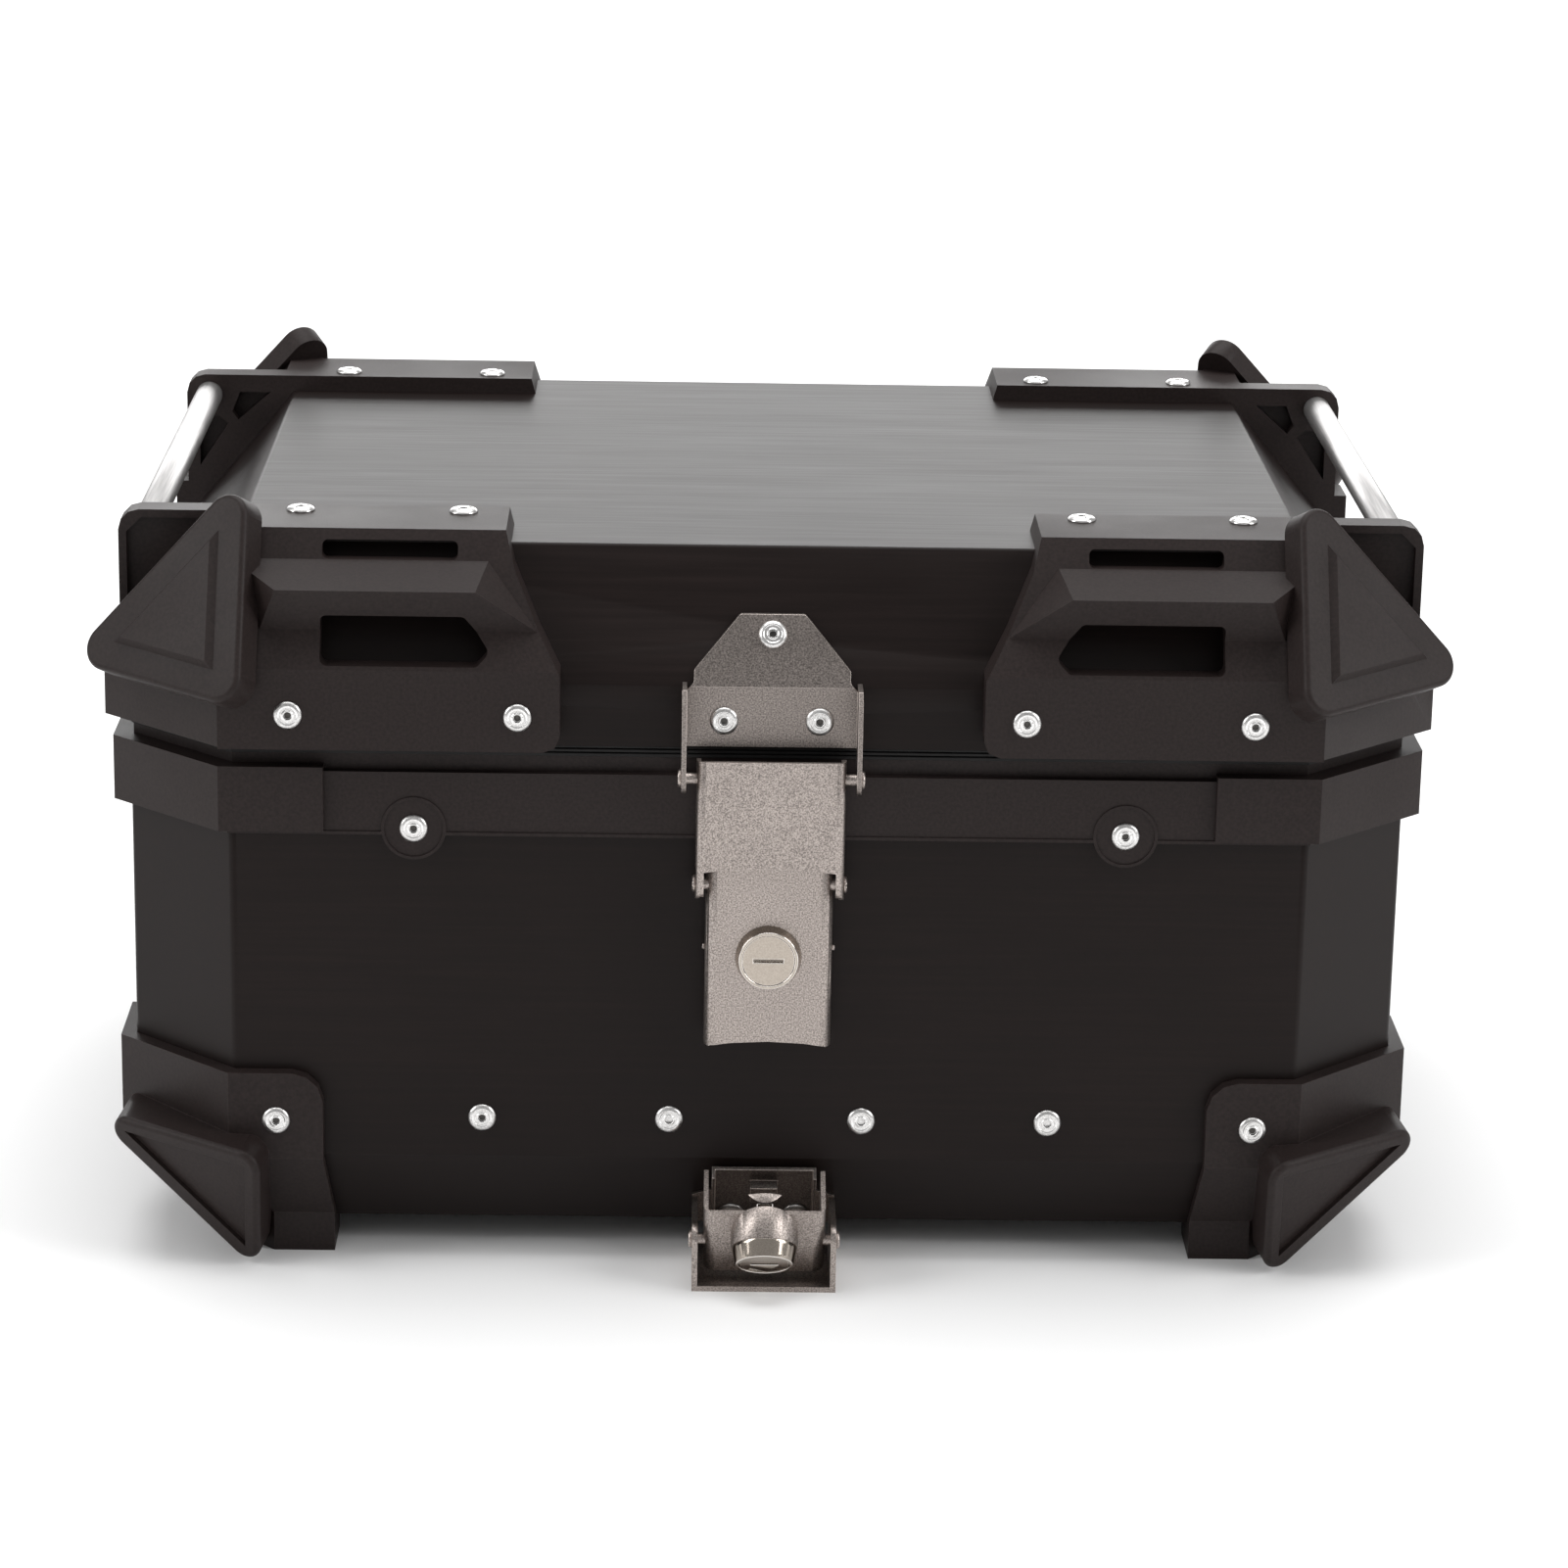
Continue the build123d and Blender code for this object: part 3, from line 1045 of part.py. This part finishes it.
with BuildPart() as mount_lever_pins:
    for sign in (-1, 1):
        add(pin_between(sign * 23.5, sign * STRAP_HALF_X, LEVER_PIN_Y, LEVER_PIN_Z,
                        LATCH_PIN_D, 8.0, 1.6))
finish(mount_lever_pins.part, "mount_lever_pins")

finish(lock_bezel(mount_lock_face, 14.4, 12.6, 8.0, 11.0, MOUNT_BARREL_R, 12.0),
       "mount_lock_bezel")
finish(lock_plug(mount_lock_face, 8.0, 11.0, 12.0, 22.5), "mount_lock_plug")
finish(lock_cam(mount_lock_face.offset(-14.9), 10.0, 7.0, 2.0), "mount_lock_cam")
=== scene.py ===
import bpy
import json
import math
import numpy as np
from mathutils import Matrix, Vector

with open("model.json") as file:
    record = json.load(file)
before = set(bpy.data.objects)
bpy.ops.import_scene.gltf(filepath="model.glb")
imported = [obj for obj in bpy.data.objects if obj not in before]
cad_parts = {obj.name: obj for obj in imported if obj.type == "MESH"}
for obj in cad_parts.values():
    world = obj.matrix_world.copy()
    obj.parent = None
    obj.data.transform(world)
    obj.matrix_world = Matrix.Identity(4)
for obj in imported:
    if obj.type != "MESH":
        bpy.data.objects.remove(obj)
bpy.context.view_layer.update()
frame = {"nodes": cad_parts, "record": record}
nodes = frame["nodes"]

# The case's middle stands this far behind the row's origin.
ORIGIN_Y = 0.008

# ---------------------------------------------------------------- materials


def new_material(name, metallic=0.0, roughness=0.5, specular=0.5):
    mat = bpy.data.materials.new(name)
    mat.use_nodes = True
    tree = mat.node_tree
    shader = tree.nodes["Principled BSDF"]
    shader.inputs["Metallic"].default_value = metallic
    shader.inputs["Roughness"].default_value = roughness
    shader.inputs["Specular IOR Level"].default_value = specular
    return mat, tree, shader


def noise(tree, scale, stretch=(1.0, 1.0, 1.0), detail=3.0, rough=0.5):
    """Noise in the row frame; a stretch under 1 draws the grain out along that axis."""
    coords = tree.nodes.new("ShaderNodeTexCoord")
    mapping = tree.nodes.new("ShaderNodeMapping")
    mapping.inputs["Scale"].default_value = stretch
    tree.links.new(coords.outputs["Object"], mapping.inputs["Vector"])
    texture = tree.nodes.new("ShaderNodeTexNoise")
    texture.inputs["Scale"].default_value = scale
    texture.inputs["Detail"].default_value = detail
    texture.inputs["Roughness"].default_value = rough
    tree.links.new(mapping.outputs["Vector"], texture.inputs["Vector"])
    return texture.outputs["Fac"]


def ramp(tree, fac, stops):
    node = tree.nodes.new("ShaderNodeValToRGB")
    elements = node.color_ramp.elements
    while len(elements) < len(stops):
        elements.new(0.5)
    for element, (position, color) in zip(elements, stops):
        element.position = position
        element.color = (*color, 1.0)
    tree.links.new(fac, node.inputs["Fac"])
    return node.outputs["Color"]


def remap(tree, fac, low, high, from_low=0.3, from_high=0.7):
    node = tree.nodes.new("ShaderNodeMapRange")
    node.inputs["From Min"].default_value = from_low
    node.inputs["From Max"].default_value = from_high
    node.inputs["To Min"].default_value = low
    node.inputs["To Max"].default_value = high
    tree.links.new(fac, node.inputs["Value"])
    return node.outputs["Result"]


def bump(tree, shader, fac, distance, strength=1.0, chain=None):
    node = tree.nodes.new("ShaderNodeBump")
    node.inputs["Distance"].default_value = distance
    node.inputs["Strength"].default_value = strength
    tree.links.new(fac, node.inputs["Height"])
    if chain:
        tree.links.new(chain, node.inputs["Normal"])
    tree.links.new(node.outputs["Normal"], shader.inputs["Normal"])
    return node.outputs["Normal"]


def scaled(color, factor):
    return tuple(c * factor for c in color)


def coated_sheet(name, color):
    """Satin black coating: fine orange peel over faint brushing along X."""
    mat, tree, shader = new_material(name, roughness=0.42, specular=0.14)
    brushing = noise(tree, 420.0, (0.03, 1.0, 1.0), detail=3.0, rough=0.6)
    clouds = noise(tree, 7.0, detail=5.0)
    peel = noise(tree, 1500.0, detail=2.0)
    shade = tree.nodes.new("ShaderNodeMath")
    shade.operation = "MULTIPLY_ADD"
    shade.inputs[1].default_value = 0.5
    tree.links.new(brushing, shade.inputs[0])
    half_clouds = remap(tree, clouds, 0.15, 0.35)
    tree.links.new(half_clouds, shade.inputs[2])
    tree.links.new(ramp(tree, shade.outputs[0], [
        (0.30, scaled(color, 0.72)), (0.52, color), (0.72, scaled(color, 1.42))]),
        shader.inputs["Base Color"])
    tree.links.new(remap(tree, brushing, 0.40, 0.46), shader.inputs["Roughness"])
    first = bump(tree, shader, brushing, 0.00002, 0.25)
    bump(tree, shader, peel, 0.00004, 0.3, first)
    return mat


def moulded_plastic(name, color, roughness=0.5):
    """Moulded plastic with a fine spark-eroded grain and slow flow marks."""
    mat, tree, shader = new_material(name, roughness=roughness, specular=0.19)
    grain = noise(tree, 1900.0, detail=3.0, rough=0.65)
    speckle = noise(tree, 700.0, detail=2.0)
    flow = noise(tree, 9.0, (1.0, 1.0, 1.6), detail=4.0)
    tree.links.new(ramp(tree, speckle, [
        (0.34, scaled(color, 0.82)), (0.5, color), (0.68, scaled(color, 1.18))]),
        shader.inputs["Base Color"])
    tree.links.new(remap(tree, flow, roughness - 0.06, roughness + 0.08), shader.inputs["Roughness"])
    bump(tree, shader, grain, 0.00010, 0.4)
    return mat


def blasted_metal(name, color, roughness=0.4, streak=(1.0, 1.0, 1.0), grain_depth=0.00008,
                  contrast=0.10, grain_scale=1500.0):
    """Blasted or turned metal: fine sparkling grain, with roughness that varies in slow patches."""
    mat, tree, shader = new_material(name, metallic=1.0, roughness=roughness)
    grain = noise(tree, grain_scale, streak, detail=2.0, rough=0.6)
    tree.links.new(ramp(tree, grain, [
        (0.34, scaled(color, 1.0 - 2.2 * contrast)), (0.5, color),
        (0.68, scaled(color, 1.0 + 2.4 * contrast))]), shader.inputs["Base Color"])
    wear = noise(tree, 26.0, (1.0, 1.0, 1.4), detail=4.0)
    tree.links.new(remap(tree, wear, roughness - 0.04, roughness + 0.05), shader.inputs["Roughness"])
    bump(tree, shader, grain, grain_depth, 0.5)
    return mat


def rubber(name, color):
    mat, tree, shader = new_material(name, roughness=0.72, specular=0.3)
    dust = noise(tree, 60.0, detail=6.0, rough=0.6)
    tree.links.new(ramp(tree, dust, [(0.35, color), (0.75, scaled(color, 2.2))]),
                   shader.inputs["Base Color"])
    tree.links.new(remap(tree, dust, 0.66, 0.80), shader.inputs["Roughness"])
    bump(tree, shader, noise(tree, 900.0, detail=2.0), 0.00008, 0.5)
    return mat


SHEET_BLACK = (0.0092, 0.0058, 0.0052)
PLASTIC_BLACK = (0.0185, 0.0128, 0.0120)
STEEL = (0.375, 0.33, 0.305)
sheet = coated_sheet("satin_black_sheet", SHEET_BLACK)
# The lighter edge materials go on the bevel faces as a painted edge highlight; on the coated sheet
# they also stand for lighter worn paint on the edges.
sheet_worn_edge_and_highlight = coated_sheet("satin_black_sheet_worn_edge_and_painted_highlight", scaled(SHEET_BLACK, 3.2))
plastic = moulded_plastic("grained_black_plastic", PLASTIC_BLACK)
plastic_edge_highlight = moulded_plastic("grained_black_plastic_painted_edge_highlight", scaled(PLASTIC_BLACK, 1.6), 0.42)
steel = blasted_metal("blasted_stainless", STEEL, 0.40, contrast=0.22)
steel_edge_highlight = blasted_metal("blasted_stainless_painted_edge_highlight", scaled(STEEL, 1.5), 0.30, contrast=0.12)
# Darker copies of the same stainless for the strike and the bracket: painted shade.
steel_painted_shade = blasted_metal("stainless_painted_shade", scaled(STEEL, 0.66), 0.40, contrast=0.22)
steel_painted_deep_shade = blasted_metal("stainless_painted_deep_shade", scaled(STEEL, 0.42), 0.42, contrast=0.2)
alloy = blasted_metal("bright_alloy", (0.66, 0.65, 0.64), 0.30, grain_depth=0.00003)
alloy_edge_highlight = blasted_metal("bright_alloy_painted_edge_highlight", (0.90, 0.89, 0.88), 0.20, grain_depth=0.00001,
                           contrast=0.04)
tube_metal = blasted_metal("satin_tube", (0.52, 0.51, 0.505), 0.38, (1.0, 0.02, 1.0), 0.00003,
                           contrast=0.06)
nickel = blasted_metal("polished_nickel", (0.42, 0.37, 0.32), 0.14, grain_depth=0.00001,
                       contrast=0.04)
nickel_edge_highlight = blasted_metal("polished_nickel_painted_edge_highlight", (0.78, 0.74, 0.70), 0.12,
                            grain_depth=0.00001, contrast=0.04)
seal_rubber = rubber("seal_rubber", (0.010, 0.0095, 0.0095))
# Very dark metal for the rivet holes: the mandrels' steel and painted shade on the hole's wall.
hole_shade_and_mandrel = blasted_metal("mandrel_steel_and_painted_hole_shade", (0.10, 0.095, 0.09), 0.5)

# Per slot: main material, lighter edge material for the bevel faces (painted edge highlight), bevel
# width.
BY_SLOT = {
    "black_coated_sheet": (sheet, sheet_worn_edge_and_highlight, 0.0006),
    "black_plastic": (plastic, plastic_edge_highlight, 0.0011),
    "black_rubber": (seal_rubber, seal_rubber, 0.0005),
    "blasted_stainless": (steel, steel_edge_highlight, 0.0005),
    "bright_aluminium": (alloy, alloy_edge_highlight, 0.0002),
    "satin_tube": (tube_metal, tube_metal, 0.0003),
    "polished_nickel": (nickel, nickel_edge_highlight, 0.0003),
}
# Stainless nodes given darker copies of the latch plates' steel: painted shade.
STEEL_PAINTED_SHADE_BY_NODE = {"mount_strike": steel_painted_deep_shade, "latch_bracket": steel_painted_shade}
WELD_REACH = 0.000002
FLAT_ANGLE = math.radians(0.2)
EDGE_ANGLE = math.radians(28)
slots = {entry["node"]: entry["material_slot"] for entry in frame["record"]["subparts"]}


def dress(name):
    """Material, rounded edges in a lighter edge material (painted edge highlight), and clean shading
    for one CAD node.
    """
    obj = nodes[name]
    main, edge, width = BY_SLOT[slots[name]]
    obj.data.materials.clear()
    # The strike and the bracket get the darker stainless copies: painted shade.
    obj.data.materials.append(STEEL_PAINTED_SHADE_BY_NODE.get(name, main))
    # Second slot: the lighter edge material, a painted edge highlight.
    obj.data.materials.append(edge)
    weld = obj.modifiers.new("weld", "WELD")
    weld.merge_threshold = WELD_REACH
    flat = obj.modifiers.new("flat_faces", "DECIMATE")
    flat.decimate_type = "DISSOLVE"
    flat.angle_limit = FLAT_ANGLE
    rounding = obj.modifiers.new("rounding", "BEVEL")
    rounding.width = width
    rounding.segments = 2
    rounding.limit_method = "ANGLE"
    rounding.angle_limit = EDGE_ANGLE
    # Bevel faces take the lighter edge material: painted edge highlight.
    rounding.material = 1
    rounding.harden_normals = True


for node_name in nodes:
    dress(node_name)

# Broken-off mandrels in every blind rivet: the hole's floor and wall are made very dark, partly the
# mandrels' steel and partly painted shade in the hole.
HOLE_R = 0.00178
HOLE_TOP = 0.0001                # below the head's top, so that its ring stays bright
HOLE_DEPTH = 0.0017
HEAD_SHARE = 0.97                # points this far out, of the largest radius, are the head's rim
RIVET_NODES = [name for name in nodes if slots[name] == "bright_aluminium" and "rivets" in name]


def loose_parts(mesh):
    """Vertex indexes of the separate pieces of a mesh."""
    leader = list(range(len(mesh.vertices)))

    def find(index):
        while leader[index] != index:
            leader[index] = leader[leader[index]]
            index = leader[index]
        return index

    seen = {}
    for vertex in mesh.vertices:
        key = tuple(round(c, 6) for c in vertex.co)
        leader[find(vertex.index)] = find(seen.setdefault(key, vertex.index))
    for edge in mesh.edges:
        leader[find(edge.vertices[0])] = find(edge.vertices[1])
    pieces = {}
    for vertex in mesh.vertices:
        pieces.setdefault(find(vertex.index), []).append(vertex.index)
    return list(pieces.values())


def rivet_axis(points):
    """Centre of one rivet's head top and the direction it faces, from its points."""
    middle = points.mean(0)
    values, axes = np.linalg.eigh(np.cov((points - middle).T))
    odd = 2 if values[2] - values[1] > values[1] - values[0] else 0
    axis = axes[:, odd]
    along = (points - middle) @ axis
    radius = np.linalg.norm(points - middle - np.outer(along, axis), axis=1)
    if along[radius > HEAD_SHARE * radius.max()].mean() < (along.max() + along.min()) / 2:
        axis = -axis
        along = -along
    return middle + along.max() * axis, axis


for name in RIVET_NODES:
    mesh = nodes[name].data
    mesh.materials.append(hole_shade_and_mandrel)
    positions = np.array([vertex.co[:] for vertex in mesh.vertices])
    owner = {}
    for piece in loose_parts(mesh):
        spot = rivet_axis(positions[piece])
        owner.update((index, spot) for index in piece)
    for face in mesh.polygons:
        top, axis = owner[face.vertices[0]]
        offset = np.array(face.center) - top
        depth = -float(offset @ axis)
        if np.linalg.norm(offset + depth * axis) < HOLE_R and HOLE_TOP < depth < HOLE_DEPTH:
            # Hole faces take the very dark metal: painted shade with the mandrels' steel.
            face.material_index = 2

# ---------------------------------------------------------------- studio


def sheet_mesh(name, points, material):
    mesh = bpy.data.meshes.new(name)
    mesh.from_pydata(points, [], [tuple(range(len(points)))])
    obj = bpy.data.objects.new(name, mesh)
    obj.data.materials.append(material)
    bpy.context.scene.collection.objects.link(obj)
    return obj


def floor_material():
    mat, tree, shader = new_material("pale_floor", roughness=0.9, specular=0.1)
    tree.links.new(ramp(tree, noise(tree, 3.0, detail=6.0), [
        (0.3, (0.93, 0.93, 0.93)), (0.7, (0.95, 0.95, 0.95))]), shader.inputs["Base Color"])
    return mat


HALF_FLOOR = 14.0
floor = sheet_mesh("pale_floor", [
    (-HALF_FLOOR, -HALF_FLOOR, 0.0), (HALF_FLOOR, -HALF_FLOOR, 0.0),
    (HALF_FLOOR, HALF_FLOOR, 0.0), (-HALF_FLOOR, HALF_FLOOR, 0.0)], floor_material())

WORLD_STRENGTH = 0.42
world = bpy.data.worlds.new("studio")
world.use_nodes = True
world.node_tree.nodes["Background"].inputs["Color"].default_value = (1.0, 1.0, 1.0, 1.0)
world.node_tree.nodes["Background"].inputs["Strength"].default_value = WORLD_STRENGTH
bpy.context.scene.world = world


def softbox(name, place, target, width, height, power):
    light = bpy.data.lights.new(name, "AREA")
    light.shape = "RECTANGLE"
    light.size = width
    light.size_y = height
    light.energy = power
    obj = bpy.data.objects.new(name, light)
    obj.location = place
    direction = Vector(target) - Vector(place)
    obj.rotation_euler = direction.to_track_quat("-Z", "Y").to_euler()
    bpy.context.scene.collection.objects.link(obj)
    return obj


softbox("softbox_above", (0.0, 0.5, 3.2), (0.0, 0.0, 0.2), 3.0, 3.0, 95.0)
softbox("softbox_left", (-3.0, -1.0, 1.9), (0.0, 0.0, 0.15), 1.4, 2.2, 46.0)
softbox("softbox_right", (3.0, -1.2, 1.9), (0.0, 0.0, 0.15), 1.4, 2.2, 52.0)
softbox("softbox_behind", (0.0, 4.6, 1.5), (0.0, 0.0, 0.3), 5.0, 1.6, 90.0)

# ---------------------------------------------------------------- camera
FOCAL_RATIO = 4900 / 1601
ELEVATION = math.radians(16.36)
YAW = math.radians(1.24)
ROLL = math.radians(1.04)
DISTANCE = 2.2773
AIM = Vector((0.0101, ORIGIN_Y, 0.1621))

forward = Vector((math.sin(YAW) * math.cos(ELEVATION), math.cos(YAW) * math.cos(ELEVATION),
                  -math.sin(ELEVATION)))
level_right = forward.cross(Vector((0, 0, 1))).normalized()
level_up = level_right.cross(forward)
right = math.cos(ROLL) * level_right + math.sin(ROLL) * level_up
up = -math.sin(ROLL) * level_right + math.cos(ROLL) * level_up
camera_data = bpy.data.cameras.new("camera")
camera_data.sensor_width = 36.0
camera_data.lens = 36.0 * FOCAL_RATIO
camera = bpy.data.objects.new("camera", camera_data)
rotation = Matrix((right, up, -forward)).transposed()
camera.matrix_world = Matrix.Translation(AIM - forward * DISTANCE) @ rotation.to_4x4()
bpy.context.scene.collection.objects.link(camera)
bpy.context.scene.camera = camera
bpy.context.scene.view_settings.view_transform = "Standard"
